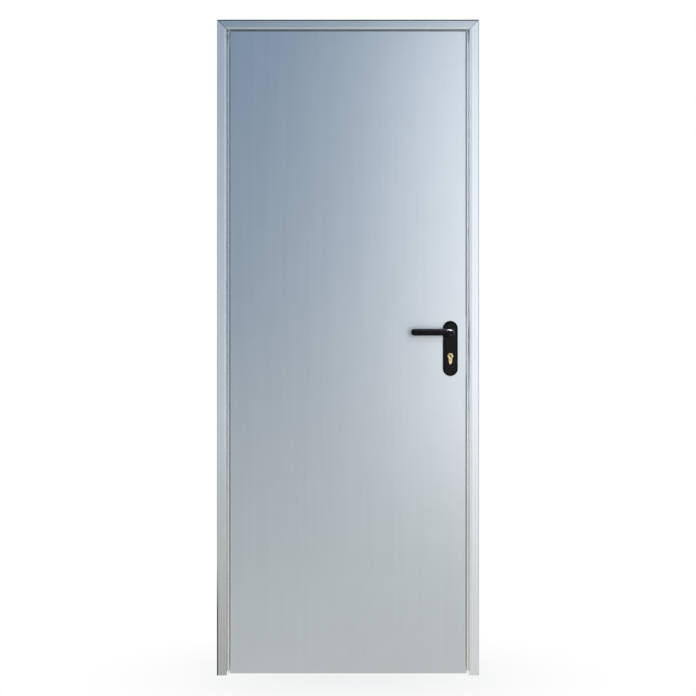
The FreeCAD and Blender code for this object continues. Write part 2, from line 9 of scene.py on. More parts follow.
# %% Load the frame
import bmesh
import bpy
import math
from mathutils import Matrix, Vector


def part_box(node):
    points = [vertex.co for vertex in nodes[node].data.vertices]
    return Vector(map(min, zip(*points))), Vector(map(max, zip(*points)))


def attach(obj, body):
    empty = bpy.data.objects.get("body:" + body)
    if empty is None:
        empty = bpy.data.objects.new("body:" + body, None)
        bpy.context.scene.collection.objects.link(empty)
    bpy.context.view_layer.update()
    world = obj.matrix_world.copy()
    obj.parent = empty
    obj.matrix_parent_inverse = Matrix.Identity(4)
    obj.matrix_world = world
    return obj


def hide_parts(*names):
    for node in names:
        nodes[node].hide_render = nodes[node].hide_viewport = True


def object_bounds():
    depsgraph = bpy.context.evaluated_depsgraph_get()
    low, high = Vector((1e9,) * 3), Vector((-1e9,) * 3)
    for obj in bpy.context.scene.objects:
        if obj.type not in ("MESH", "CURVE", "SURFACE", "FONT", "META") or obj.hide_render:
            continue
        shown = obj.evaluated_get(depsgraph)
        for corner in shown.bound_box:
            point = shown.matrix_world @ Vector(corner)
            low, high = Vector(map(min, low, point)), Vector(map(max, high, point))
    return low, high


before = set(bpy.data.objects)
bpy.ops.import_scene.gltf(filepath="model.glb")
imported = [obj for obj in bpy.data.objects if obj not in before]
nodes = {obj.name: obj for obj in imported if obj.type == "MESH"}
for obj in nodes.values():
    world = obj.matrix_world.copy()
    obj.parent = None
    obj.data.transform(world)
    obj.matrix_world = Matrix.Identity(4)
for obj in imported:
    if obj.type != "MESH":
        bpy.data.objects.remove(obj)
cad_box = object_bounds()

MM = 0.001

# %% [markdown]
# ## Tools for the finishes
# Every finish is a small network of shader nodes. Writing each node out in full would bury the
# idea under settings, so one function adds a node and goes through its settings: the output of
# another node is linked to a socket, a number or a colour is set on it, and anything else is a
# property of the node. Colours are written as sRGB hex values, the way a paint chart gives them,
# and one function turns them into the linear values that the shaders work with.

# %% Colour and node helpers
def linear(chart_colour):
    """An sRGB hex colour as linear red, green, blue and alpha."""
    channels = [int(chart_colour[i:i + 2], 16) / 255 for i in (1, 3, 5)]
    return [c / 12.92 if c < 0.04045 else ((c + 0.055) / 1.055) ** 2.4 for c in channels] + [1.0]


def add(tree, kind, *settings):
    """Adds one node. Each setting is a socket or property with its value, or with its source."""
    node = tree.nodes.new(kind)
    for name, value in settings:
        if isinstance(value, bpy.types.NodeSocket):
            tree.links.new(value, node.inputs[name])
        elif isinstance(name, int) or name in node.inputs:
            node.inputs[name].default_value = value
        else:
            setattr(node, name, value)
    return node


# A Mix node has sockets for every kind of data, so those for colours go by their numbers.
SHARE, UNDER, OVER, MIXED = 0, 6, 7, 2


def new_finish(name, *constants):
    """A material with one shader, whose even values are set on its own sockets."""
    material = bpy.data.materials.new(name)
    material.use_nodes = True
    tree = material.node_tree
    tree.nodes.clear()
    place = add(tree, "ShaderNodeTexCoord").outputs["Object"]
    shader = add(tree, "ShaderNodeBsdfPrincipled", *constants)
    add(tree, "ShaderNodeOutputMaterial", ("Surface", shader.outputs["BSDF"]))
    return material, tree, place, shader


def dress(tree, shader, colour, roughness=None, relief=None):
    """Links a finish's colour to its shader, and its roughness and relief where they vary."""
    for socket, source in (("Base Color", colour), ("Roughness", roughness), ("Normal", relief)):
        if source is not None:
            tree.links.new(source, shader.inputs[socket])


print("helpers ready")

# %% [markdown]
# ## Zinc-coated sheet
# The frame and the leaf are cold-rolled steel with a hot-dip zinc coat that was rolled once more,
# which leaves a grey satin metal. Four things show on it: broad faint streaks in the rolling
# direction, soft clouds where the coat is thicker, a few small pimples of dross, and the slight
# waves of a thin sheet, which bend what it mirrors. A photograph could be wrapped round the
# parts, but noise in real sizes follows every fold without a seam. The relief comes first: the
# pimples are the middles of scattered cells, and the waves are a slow noise.

# %% Zinc: relief of the coat
PIMPLE_SPACING = 95 * MM
PIMPLE_RADIUS = 1.5 * MM
PIMPLE_HEIGHT = 0.25 * MM
WAVE_SIZE = 160 * MM
WAVE_HEIGHT = 0.15 * MM


def coat_relief(tree, place):
    """Pimples of dross on the slow waves of the sheet, as a bent surface direction."""
    cells = add(tree, "ShaderNodeTexVoronoi", ("Scale", 1 / PIMPLE_SPACING), ("Vector", place))
    pimples = add(tree, "ShaderNodeMapRange", ("interpolation_type", "SMOOTHSTEP"),
                  ("Value", cells.outputs["Distance"]),
                  ("From Min", 0.0), ("From Max", PIMPLE_RADIUS / PIMPLE_SPACING),
                  ("To Min", PIMPLE_HEIGHT), ("To Max", 0.0))
    slow = add(tree, "ShaderNodeTexNoise", ("Scale", 1 / WAVE_SIZE), ("Detail", 1.0),
               ("Vector", place))
    waves = add(tree, "ShaderNodeMath", ("operation", "MULTIPLY"),
                (0, slow.outputs["Fac"]), (1, WAVE_HEIGHT))
    height = add(tree, "ShaderNodeMath", ("operation", "ADD"),
                 (0, waves.outputs[0]), (1, pimples.outputs["Result"]))
    bump = add(tree, "ShaderNodeBump", ("Distance", 1.0), ("Height", height.outputs[0]))
    return bump.outputs["Normal"]


print("pimples every", PIMPLE_SPACING, "m on waves of", WAVE_SIZE, "m")

# %% [markdown]
# Three zones are painted on the zinc. In the closed rebate beside the jambs the coat is painted
# near white and smoother, as painted light that lifts the shade in the gaps. The sheet is painted
# darker towards the floor, and the outer bend of the frame is painted dark, as painted shade.
# They could be painted by hand, but each follows from its place on the door, so each zone is a
# product of ramps over that place, with one ramp for each of its borders.

# %% Zinc: painted light, painted shade and a darker low zone
WHOLE_WIDTH, WHOLE_HEIGHT = cad_box[1][0], cad_box[1][2]
REBATE_FRONT, REBATE_BACK = -4.5 * MM, 33 * MM
REBATE_FADE = 0.5 * MM
WALL_REACH = 10 * MM
HEAD_REACH, HEAD_FADE = 45 * MM, 30 * MM
HEAD_REBATE_LIGHT = 0.35
LOW_DARKENING_TOP = 0.8
BEND_REACH = 5 * MM
BEND_DEPTH = -2 * MM
BEND_SHADE_FADE = 0.16


def painted_zones(tree, place, low_darkening, bend_shade_top):
    """Shares: painted light in the rebate, the darker low zone, painted shade on the bend up to a
    height.
    """
    axes = add(tree, "ShaderNodeSeparateXYZ", ("Vector", place)).outputs
    past_left = add(tree, "ShaderNodeMath", ("operation", "MULTIPLY"), (0, axes["X"]), (1, -1.0))
    past_right = add(tree, "ShaderNodeMath", ("operation", "SUBTRACT"),
                     (0, axes["X"]), (1, WHOLE_WIDTH))
    past_side = add(tree, "ShaderNodeMath", ("operation", "MAXIMUM"),
                    (0, past_left.outputs[0]), (1, past_right.outputs[0])).outputs[0]
    past_top = add(tree, "ShaderNodeMath", ("operation", "SUBTRACT"),
                   (0, axes["Z"]), (1, WHOLE_HEIGHT)).outputs[0]
    past_edge = add(tree, "ShaderNodeMath", ("operation", "MAXIMUM"),
                    (0, past_side), (1, past_top)).outputs[0]
    # The rebate zone is painted light and the bend zone painted shade; the low zone darkens the sheet
    # near the floor.
    zones = {
        "rebate_painted_light": [
            (axes["Y"], REBATE_FRONT - REBATE_FADE, REBATE_FRONT + REBATE_FADE, 0.0, 1.0),
            (axes["Y"], REBATE_BACK + REBATE_FADE, REBATE_BACK - REBATE_FADE, 0.0, 1.0),
            (past_side, -WALL_REACH + REBATE_FADE, -WALL_REACH - REBATE_FADE, 0.0, 1.0),
            (past_top, -HEAD_REACH, -HEAD_REACH - HEAD_FADE, HEAD_REBATE_LIGHT, 1.0),
        ],
        "darker_low": [
            (axes["Z"], 0.0, LOW_DARKENING_TOP, low_darkening, 0.0),
        ],
        "bend_painted_shade": [
            (past_edge, -BEND_REACH, -0.5 * BEND_REACH, 0.0, 1.0),
            (axes["Y"], BEND_DEPTH, REBATE_FRONT, 0.0, 1.0),
            (axes["Z"], bend_shade_top, bend_shade_top - BEND_SHADE_FADE, 0.0, 1.0),
        ],
    }
    shares = {}
    for zone, borders in zones.items():
        shares[zone] = 1.0
        for value, start, end, low, high in borders:
            border = add(tree, "ShaderNodeMapRange", ("Value", value), ("From Min", start),
                         ("From Max", end), ("To Min", low), ("To Max", high))
            shares[zone] = add(tree, "ShaderNodeMath", ("operation", "MULTIPLY"),
                               (0, shares[zone]), (1, border.outputs["Result"])).outputs[0]
    return shares


print("marks of use reach over", round(WHOLE_WIDTH, 3), "by", round(WHOLE_HEIGHT, 3), "m")

# %% [markdown]
# The finish itself adds the streaks and the clouds to a coat thickness, which shifts the colour a
# little, and lays the painted light, the painted shade and the darker low zone over it. The streaks
# are noise that is stretched along the rolling direction, and they also change the gloss a trace.
# Coils differ a little, and beyond that the jambs and the folded back are painted lighter than the
# head and the leaf's face, as painted light, so the five parts are five tones of the same finish.

# %% Finish: zinc-coated sheet
STREAK_WIDTH = 14 * MM
STREAK_LENGTH = 420 * MM
STREAK_GLOSS = 0.01
CLOUD_SIZE = 80 * MM
COAT_THIN, COAT_THICK = 0.7, 1.3
STREAK_LOW, STREAK_HIGH = 0.3, 0.7
REBATE_LIGHT_ROUGHNESS = 0.2
# The sockets of a Mix node that hold plain numbers.
NUMBER_UNDER, NUMBER_OVER = 2, 3


def zinc_sheet(name, thin, thick, rolling_axis, roughness, low_darkening=0.0, bend_shade_top=0.0):
    """Grey satin zinc, streaked along rolling_axis, with painted light and shade and a darker low
    zone.
    """
    material, tree, place, shader = new_finish(name, ("Metallic", 1.0))
    stretch = [1 / STREAK_WIDTH] * 3
    stretch[rolling_axis] = 1 / STREAK_LENGTH
    along = add(tree, "ShaderNodeMapping", ("Scale", stretch), ("Vector", place))
    streaks = add(tree, "ShaderNodeTexNoise", ("Scale", 1.0), ("Detail", 1.0),
                  ("Vector", along.outputs["Vector"])).outputs["Fac"]
    clouds = add(tree, "ShaderNodeTexNoise", ("Scale", 1 / CLOUD_SIZE), ("Detail", 3.0),
                 ("Vector", place))
    coat = add(tree, "ShaderNodeMath", ("operation", "ADD"), (0, streaks), (1, clouds.outputs["Fac"]))
    thickness = add(tree, "ShaderNodeMapRange", ("Value", coat.outputs[0]),
                    ("From Min", COAT_THIN), ("From Max", COAT_THICK))
    shares = painted_zones(tree, place, low_darkening, bend_shade_top)
    # Near white over the rebate is painted light, and dark grey over the outer bend is painted shade.
    layers = [(thickness.outputs["Result"], thick), (shares["rebate_painted_light"], "#FAFBFC"),
              (shares["darker_low"], "#8E8D88"), (shares["bend_painted_shade"], "#3C4145")]
    tint = linear(thin)
    for share, colour in layers:
        tint = add(tree, "ShaderNodeMix", ("data_type", "RGBA"), (SHARE, share), (UNDER, tint),
                   (OVER, linear(colour))).outputs[MIXED]
    satin = add(tree, "ShaderNodeMapRange", ("Value", streaks),
                ("From Min", STREAK_LOW), ("From Max", STREAK_HIGH),
                ("To Min", roughness - STREAK_GLOSS), ("To Max", roughness + STREAK_GLOSS))
    gloss = add(tree, "ShaderNodeMix", ("data_type", "FLOAT"), (SHARE, shares["rebate_painted_light"]),
                (NUMBER_UNDER, satin.outputs["Result"]), (NUMBER_OVER, REBATE_LIGHT_ROUGHNESS))
    dress(tree, shader, tint, gloss.outputs[0], coat_relief(tree, place))
    return material


# The jambs and the folded back are painted lighter than the head and the leaf's face, as painted
# light; the folded back also brightens the seam strips at the leaf's edges.
ACROSS, UPRIGHT = 0, 2
# Each jamb is darker towards the floor by its own share. The hinge jamb has painted shade on its
# outer bend up to 0.36 m, and the head has it along its whole length.
hinge_zinc = zinc_sheet("hinge_jamb_zinc_sheet", "#E4E9EA", "#E9EEEF", UPRIGHT, 0.45,
                        low_darkening=0.56, bend_shade_top=0.36)
lock_zinc = zinc_sheet("lock_jamb_zinc_sheet", "#E8EDEF", "#EBF0F2", UPRIGHT, 0.45, low_darkening=0.12)
head_zinc = zinc_sheet("head_zinc_sheet", "#C2CACD", "#C8D0D3", ACROSS, 0.41,
                       bend_shade_top=2 * WHOLE_HEIGHT)
leaf_zinc = zinc_sheet("leaf_zinc_sheet", "#C5CCD0", "#C8CFD3", UPRIGHT, 0.35)
fold_zinc = zinc_sheet("folded_zinc_sheet", "#E3E8EA", "#E6EBED", UPRIGHT, 0.45)
print("zinc sheet:", [m.name for m in (hinge_zinc, lock_zinc, head_zinc, leaf_zinc, fold_zinc)])

# %% [markdown]
# ## Bright plate
# The hinges, the lock face and the screws are steel with a thin electroplated coat of zinc, which
# is smoother than the dipped coat and a little blotchy. The bolts are bare polished steel. Even
# values would look like paint, so a soft noise mixes two greys, and a finer one varies the gloss
# as handling does.

# %% Finish: bright plate
BLOTCH_SIZE = 14 * MM
SCUFF_SIZE = 1.5 * MM
SCUFF_GLOSS = 0.08


def bright_plate(name, dull, bright, roughness):
    """Electroplated zinc on steel: smooth, with blotches of uneven passivation."""
    material, tree, place, shader = new_finish(name, ("Metallic", 1.0))
    blotches = add(tree, "ShaderNodeTexNoise", ("Scale", 1 / BLOTCH_SIZE), ("Detail", 4.0),
                   ("Vector", place))
    tint = add(tree, "ShaderNodeMix", ("data_type", "RGBA"), (SHARE, blotches.outputs["Fac"]),
               (UNDER, linear(dull)), (OVER, linear(bright)))
    scuffs = add(tree, "ShaderNodeTexNoise", ("Scale", 1 / SCUFF_SIZE), ("Detail", 3.0),
                 ("Vector", place))
    satin = add(tree, "ShaderNodeMapRange", ("Value", scuffs.outputs["Fac"]),
                ("To Min", roughness - SCUFF_GLOSS), ("To Max", roughness + SCUFF_GLOSS))
    dress(tree, shader, tint.outputs[MIXED], satin.outputs["Result"])
    return material


plate_zinc = bright_plate("bright_zinc_plate", "#B9BDBF", "#CDD1D4", 0.32)
bolt_steel = bright_plate("polished_bolt_steel", "#B4B4B2", "#C8C8C6", 0.24)
print("plated:", plate_zinc.name, bolt_steel.name)

# %% [markdown]
# ## Turned brass
# The cylinder is machined from brass bar, so faint turning lines run round its axis, and air and
# hands leave darker patches on it. Rings of a wave texture, centred on the axis by a Mapping
# node, give the lines without any geometry. Real lines are about 0.1 mm apart, which is too fine
# to show, so these are coarser.

# %% Finish: turned brass
TURNING_PITCH = 0.5 * MM
WAVES_PER_UNIT = 0.31
PATINA_SIZE = 4 * MM
PATINA_LOW, PATINA_HIGH = 0.35, 0.65


def turned_brass(name, axis_place):
    """Machined brass: pale gold with darker patches, and turning lines round the cylinder's axis."""
    material, tree, place, shader = new_finish(name, ("Metallic", 1.0))
    centred = add(tree, "ShaderNodeMapping", ("Location", [-c for c in axis_place]),
                  ("Vector", place))
    rings = add(tree, "ShaderNodeTexWave", ("wave_type", "RINGS"), ("rings_direction", "Y"),
                ("Distortion", 0.6), ("Scale", WAVES_PER_UNIT / TURNING_PITCH),
                ("Vector", centred.outputs["Vector"]))
    patches = add(tree, "ShaderNodeTexNoise", ("Scale", 1 / PATINA_SIZE), ("Detail", 3.0),
                  ("Vector", place))
    patina = add(tree, "ShaderNodeMapRange", ("Value", patches.outputs["Fac"]),
                 ("From Min", PATINA_LOW), ("From Max", PATINA_HIGH))
    tint = add(tree, "ShaderNodeMix", ("data_type", "RGBA"), (SHARE, patina.outputs["Result"]),
               (UNDER, linear("#9C8650")), (OVER, linear("#DDD0A6")))
    satin = add(tree, "ShaderNodeMapRange", ("Value", rings.outputs["Fac"]),
                ("To Min", 0.22), ("To Max", 0.32))
    dress(tree, shader, tint.outputs[MIXED], satin.outputs["Result"])
    return material


plug_low, plug_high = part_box("front_plug")
plug_axis = (plug_low + plug_high) / 2
brass = turned_brass("turned_brass", plug_axis)
print("brass rings round", [round(c, 4) for c in plug_axis])

# %% [markdown]
# ## Moulded polyamide
# The lever set is black polyamide, moulded in a tool with a fine spark-eroded grain. It has a soft
# sheen, and hands polish it in places. A bump from fine noise gives the grain, and a slow noise
# moves both the colour and the sheen, because polish changes the two together. The real grain is
# near 0.1 mm, which is too fine to show, so this one is coarser.

# %% Finish: moulded polyamide
MOULD_GRAIN = 0.5 * MM
MOULD_GRAIN_HEIGHT = 0.01 * MM
TOUCH_SIZE = 30 * MM
MATT, POLISHED = 0.28, 0.2


def moulded_polyamide(name, dark, worn):
    """Black moulded plastic: fine spark-eroded grain, slightly polished where hands touch."""
    material, tree, place, shader = new_finish(name, ("IOR", 1.53), ("Specular IOR Level", 0.1))
    touch = add(tree, "ShaderNodeTexNoise", ("Scale", 1 / TOUCH_SIZE), ("Detail", 3.0),
                ("Vector", place)).outputs["Fac"]
    tint = add(tree, "ShaderNodeMix", ("data_type", "RGBA"), (SHARE, touch),
               (UNDER, linear(dark)), (OVER, linear(worn)))
    sheen = add(tree, "ShaderNodeMapRange", ("Value", touch), ("To Min", MATT), ("To Max", POLISHED))
    grain = add(tree, "ShaderNodeTexNoise", ("Scale", 1 / MOULD_GRAIN), ("Detail", 2.0),
                ("Vector", place))
    relief = add(tree, "ShaderNodeBump", ("Strength", 0.35), ("Distance", MOULD_GRAIN_HEIGHT),
                 ("Height", grain.outputs["Fac"]))
    dress(tree, shader, tint.outputs[MIXED], sheen.outputs["Result"], relief.outputs["Normal"])
    return material


polyamide = moulded_polyamide("black_polyamide", "#060607", "#0B0A0C")
print("polyamide:", polyamide.name)

# %% [markdown]
# ## Honeycomb board
# The leaf is filled with a honeycomb of recycled board, which shows only at the foot and in the
# edges. Modelling its cells would cost many faces for something so hidden, so a cell texture
# draws their walls a little darker than the board.

# %% Finish: honeycomb board
HONEYCOMB_CELL = 18 * MM
CELL_WALL_SHARE = 0.08


def honeycomb_board(name):
    """Brown recycled board, with the walls of its hexagon cells a little darker."""
    material, tree, place, shader = new_finish(name, ("Roughness", 0.9))
    cells = add(tree, "ShaderNodeTexVoronoi", ("feature", "DISTANCE_TO_EDGE"),
                ("Scale", 1 / HONEYCOMB_CELL), ("Randomness", 0.3), ("Vector", place))
    off_wall = add(tree, "ShaderNodeMapRange", ("Value", cells.outputs["Distance"]),
                   ("From Max", CELL_WALL_SHARE))
    tint = add(tree, "ShaderNodeMix", ("data_type", "RGBA"), (SHARE, off_wall.outputs["Result"]),
               (UNDER, linear("#8A6B45")), (OVER, linear("#B08D5E")))
    dress(tree, shader, tint.outputs[MIXED])
    return material


board = honeycomb_board("honeycomb_board")
print("board:", board.name)

# %% [markdown]
# ## Weld scale
# Welding burns the zinc off, so a weld is dull and smoky. The corner plates behind the mitres take
# the same finish, which is partly burnt zinc and partly painted shade that darkens the mitre gaps.
# The beads beside the hinges are in plain sight, so they were brushed, and are paler. One noise
# drives both the colour and the roughness, because smoke is darker and duller at once.

# %% Finish: weld scale
SMOKE_SIZE = 1.2 * MM
SOOTY, BARE = 0.75, 0.45


def weld_scale(name, smoky, clean):
    """Burnt zinc and smoke on a weld: dull grey with dark and pale patches."""
    material, tree, place, shader = new_finish(name, ("Metallic", 0.6))
    smoke = add(tree, "ShaderNodeTexNoise", ("Scale", 1 / SMOKE_SIZE), ("Detail", 3.0),
                ("Vector", place)).outputs["Fac"]
    tint = add(tree, "ShaderNodeMix", ("data_type", "RGBA"), (SHARE, smoke),
               (UNDER, linear(smoky)), (OVER, linear(clean)))
    dull = add(tree, "ShaderNodeMapRange", ("Value", smoke), ("To Min", SOOTY), ("To Max", BARE))
    dress(tree, shader, tint.outputs[MIXED], dull.outputs["Result"])
    return material


burnt_zinc_and_gap_shade = weld_scale("burnt_zinc_weld_and_gap_shade", "#2F3134", "#85898C")
brushed_weld = weld_scale("brushed_weld_steel", "#6B6E70", "#B4B8BA")
print("weld scale:", burnt_zinc_and_gap_shade.name, brushed_weld.name)

# %% [markdown]
# ## Finishes on the solids
# Each solid keeps its shape and takes a finish by its name. A list of patterns is tried from the
# top, so a special piece comes before the general rule that would also fit it.

# %% Give every solid its finish
FINISH_BY_NAME = [
    ("leaf_core", board),
    # The corner plates show only through the mitre gaps: their dark burnt zinc is also painted shade
    # there.
    ("corner_cleat", burnt_zinc_and_gap_shade),
    ("cylinder_body", brass),
    ("plug", brass),
    ("bolt", bolt_steel),
    ("spindle", bolt_steel),
    ("hinge_jamb", hinge_zinc),
    ("lock_jamb", lock_zinc),
    ("head_rail", head_zinc),
    ("bottom_channel", head_zinc),
    ("front_skin", leaf_zinc),
    ("back_skin", fold_zinc),
    ("_plate", polyamide),
    ("_lever", polyamide),
    ("", plate_zinc),
]
for name, solid in nodes.items():
    finish = next(material for pattern, material in FINISH_BY_NAME if pattern in name)
    solid.data.materials.clear()
    solid.data.materials.append(finish)
print("finished solids:", len(nodes))

# %% [markdown]
# ## Rounded edges
# A moulded plate or a turned pin has no knife edge: its edges are rounded by a few tenths of a
# millimetre, and that narrow round is what catches the light. The solids have plain edges, so
# the visible small pieces are copied, merged into one closed mesh and bevelled. A Bevel modifier
# would do the same, but bmesh lets the keyway have a wider round than the rim. The copy then
# stands for the solid, which still serves for contact.

# %% Tools for pieces
def new_piece(name, mesh, finish, body):
    """Puts a mesh into the scene as a piece that moves with a body."""
    piece = bpy.data.objects.new(name, mesh)
    bpy.context.scene.collection.objects.link(piece)
    if finish:
        mesh.materials.clear()
        mesh.materials.append(finish)
    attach(piece, body)
    return piece


def off_plug_axis(place):
    """How far a point is from the axis of the cylinder's plugs."""
    return math.hypot(place.x - plug_axis.x, place.z - plug_axis.z)


def shade_by_area(mesh):
    """Smooth shading in which a large face keeps its own direction, so flat fields stay flat."""
    directions = [Vector() for _ in mesh.vertices]
    for face in mesh.polygons:
        for corner in face.vertices:
            directions[corner] += face.normal * face.area
    mesh.polygons.foreach_set("use_smooth", [True] * len(mesh.polygons))
    mesh.normals_split_custom_set_from_vertices([d.normalized() for d in directions])


# %% Bevelled copies of small solids
SAME_POINT = 0.001 * MM
SHARP_FROM = math.radians(25)
FLAT_WITHIN = math.radians(0.5)
KEYWAY_REACH = 5.2 * MM
KEYWAY_MOUTH = 0.5 * MM
RIM_STEPS, MOUTH_STEPS = 3, 2


def softened(node, name, body, slot, width, mouth=0.0):
    """A copy of a solid with its edges rounded over width, and those of a keyway over mouth."""
    solid = nodes[node]
    form = bmesh.new()
    form.from_mesh(solid.data)
    bmesh.ops.remove_doubles(form, verts=form.verts, dist=SAME_POINT)
    bmesh.ops.dissolve_limit(form, angle_limit=FLAT_WITHIN, verts=form.verts, edges=form.edges)
    edges = [e for e in form.edges if e.is_manifold and e.calc_face_angle() > SHARP_FROM]
    if mouth:
        keyway = [e for e in edges if all(off_plug_axis(v.co) < KEYWAY_REACH for v in e.verts)]
        edges = [e for e in edges if e not in keyway]
        bmesh.ops.bevel(form, geom=keyway, offset=mouth, segments=MOUTH_STEPS, profile=0.5,
                        affect="EDGES", clamp_overlap=True)
        edges = [e for e in edges if e.is_valid]
    bmesh.ops.bevel(form, geom=edges, offset=width, segments=RIM_STEPS, profile=0.5,
                    affect="EDGES", clamp_overlap=True)
    mesh = bpy.data.meshes.new(name)
    form.to_mesh(mesh)
    form.free()
    shade_by_area(mesh)
    piece = new_piece(name, mesh, solid.data.materials[0], body)
    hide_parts(node)
    return piece


SOFTENED = [
    ("front_plate", "front_plate_moulding", "leaf", "black_nylon", 0.8 * MM),
    ("rear_plate", "rear_plate_moulding", "leaf", "black_nylon", 0.8 * MM),
    ("lock_forend", "forend_face", "leaf", "zinc_plate", 0.4 * MM),
    ("latch_bolt", "latch_bolt_nose", "leaf", "zinc_plate", 0.6 * MM),
    ("dead_bolt", "dead_bolt_bar", "leaf", "zinc_plate", 0.6 * MM),
    ("cylinder_body", "cylinder_casting", "leaf", "brass", 0.3 * MM),
    ("front_plug", "front_plug_face", "plug", "brass", 0.2 * MM, KEYWAY_MOUTH),
    ("rear_plug", "rear_plug_face", "leaf", "brass", 0.2 * MM, KEYWAY_MOUTH),
]
for level in ("lower", "upper"):
    SOFTENED += [
        (level + "_hinge_frame_wing", level + "_frame_knuckles", "frame", "zinc_plate", 0.4 * MM),
        (level + "_hinge_leaf_wing", level + "_leaf_knuckle", "leaf", "zinc_plate", 0.4 * MM),
        (level + "_hinge_pin", level + "_headed_pin", "frame", "zinc_plate", 0.6 * MM),
    ]
for row in SOFTENED:
    piece = softened(*row)
    print(piece.name, "faces", len(piece.data.polygons))

# %% [markdown]
# ## Keyways painted dark with oil and shade
# Inside the keyways the brass is painted nearly black: partly old oil and graphite, and partly
# painted shade for the depth of the narrow slots. A second material could be painted on by hand,
# but the faces are easy to find: they lie near the plug's axis and deeper than its rim.

# %% Finish: keyway brass, oil and painted shade
RIM_DEPTH = 0.02 * MM
OIL_AND_SHADE_PATCH = 2 * MM


def keyway_oil_and_shade(name):
    """Brass under oil and graphite, and painted shade of the slot: nearly black, a little metal
    showing.
    """
    material, tree, place, shader = new_finish(name, ("Metallic", 0.4), ("Roughness", 0.6))
    oil_and_shade = add(tree, "ShaderNodeTexNoise", ("Scale", 1 / OIL_AND_SHADE_PATCH), ("Detail", 2.0),
              ("Vector", place))
    tint = add(tree, "ShaderNodeMix", ("data_type", "RGBA"), (SHARE, oil_and_shade.outputs["Fac"]),
               (UNDER, linear("#0D0B07")), (OVER, linear("#2C2415")))
    dress(tree, shader, tint.outputs[MIXED])
    return material


keyway_oil_and_shade_brass = keyway_oil_and_shade("keyway_brass_oil_and_painted_shade")
for name in ("front_plug_face", "rear_plug_face"):
    mesh = bpy.data.objects[name].data
    mesh.materials.append(keyway_oil_and_shade_brass)
    ends = [min(v.co.y for v in mesh.vertices), max(v.co.y for v in mesh.vertices)]
    inside = 0
    for face in mesh.polygons:
        depth = min(abs(face.center.y - end) for end in ends)
        # A keyway face takes the second material: painted shade in the deep slot, with oil.
        if off_plug_axis(face.center) < KEYWAY_REACH and depth > RIM_DEPTH:
            face.material_index = 1
            inside += 1
    print(name, "keyway faces", inside)

# %% [markdown]
# ## The two levers
# Each lever is one round bar: it leaves the plate, bends to the left and ends in a dome. It could
# be turned and bent by hand, but its shape follows a rule, so a node tree makes it: three points
# become a line, the line gets a rounded corner, a circle is swept along it, and near the tip the
# circle shrinks as a sphere does. Merging the points at the tip closes the dome.

# %% Tools for node trees
def new_tree(name, inputs):
    """A geometry tree with a Geometry input, the named inputs and a Geometry output."""
    tree = bpy.data.node_groups.new(name, "GeometryNodeTree")
    tree.interface.new_socket("Geometry", in_out="INPUT", socket_type="NodeSocketGeometry")
    for label, kind in inputs:
        tree.interface.new_socket(label, in_out="INPUT", socket_type="NodeSocket" + kind)
    tree.interface.new_socket("Geometry", in_out="OUTPUT", socket_type="NodeSocketGeometry")
    return tree, add(tree, "NodeGroupInput").outputs


def close_tree(tree, geometry, finish):
    """Ends a tree: real geometry with its finish on it."""
    real = add(tree, "GeometryNodeRealizeInstances", ("Geometry", geometry))
    coated = add(tree, "GeometryNodeSetMaterial", ("Geometry", real.outputs["Geometry"]),
                 ("Material", finish))
    add(tree, "NodeGroupOutput", ("Geometry", coated.outputs["Geometry"]))
    print("tree:", tree.name, "nodes", len(tree.nodes))


def grown(name, points, edges, tree, values):
    """Runs a tree on a few points and returns the result as a plain mesh."""
    seed_mesh = bpy.data.meshes.new(name + "_points")
    seed_mesh.from_pydata(points, edges, [])
    seed = bpy.data.objects.new(name + "_points", seed_mesh)
    bpy.context.scene.collection.objects.link(seed)
    modifier = seed.modifiers.new("grow", "NODES")
    modifier.node_group = tree
    for socket in tree.interface.items_tree:
        if socket.in_out == "INPUT" and socket.name in values:
            modifier[socket.identifier] = values[socket.name]
    seen = seed.evaluated_get(bpy.context.evaluated_depsgraph_get())
    mesh = bpy.data.meshes.new_from_object(seen)
    mesh.name = name
    seed.modifiers.remove(modifier)
    bpy.data.objects.remove(seed)
    bpy.data.meshes.remove(seed_mesh)
    return mesh


print("tree tools ready")

# %% Node tree: a bent round bar with a domed end
BEND_STEPS = 24
BAR_SIDES = 48
TIP_MERGE = 0.01 * MM

bar_tree, given = new_tree("bent_bar", [
    ("Radius", "Float"), ("Bend", "Float"), ("Step", "Float"), ("Finish", "Material")])
line = add(bar_tree, "GeometryNodeMeshToCurve", ("Mesh", given["Geometry"]))
bend = add(bar_tree, "GeometryNodeFilletCurve", ("mode", "POLY"), ("Count", BEND_STEPS),
           ("Curve", line.outputs["Curve"]), ("Radius", given["Bend"]))
rings = add(bar_tree, "GeometryNodeResampleCurve", ("mode", "LENGTH"),
            ("Curve", bend.outputs["Curve"]), ("Length", given["Step"]))
passed = add(bar_tree, "GeometryNodeSplineParameter").outputs["Length"]
whole = add(bar_tree, "GeometryNodeSplineLength").outputs["Length"]
left = add(bar_tree, "ShaderNodeMath", ("operation", "SUBTRACT"), (0, whole), (1, passed))
near = add(bar_tree, "ShaderNodeMath", ("operation", "DIVIDE"), ("use_clamp", True),
           (0, left.outputs[0]), (1, given["Radius"]))
short = add(bar_tree, "ShaderNodeMath", ("operation", "SUBTRACT"), (0, 1.0), (1, near.outputs[0]))
square = add(bar_tree, "ShaderNodeMath", ("operation", "POWER"), (0, short.outputs[0]), (1, 2.0))
rest = add(bar_tree, "ShaderNodeMath", ("operation", "SUBTRACT"), (0, 1.0), (1, square.outputs[0]))
dome = add(bar_tree, "ShaderNodeMath", ("operation", "SQRT"), (0, rest.outputs[0]))
circle = add(bar_tree, "GeometryNodeCurvePrimitiveCircle", ("Resolution", BAR_SIDES),
             ("Radius", given["Radius"]))
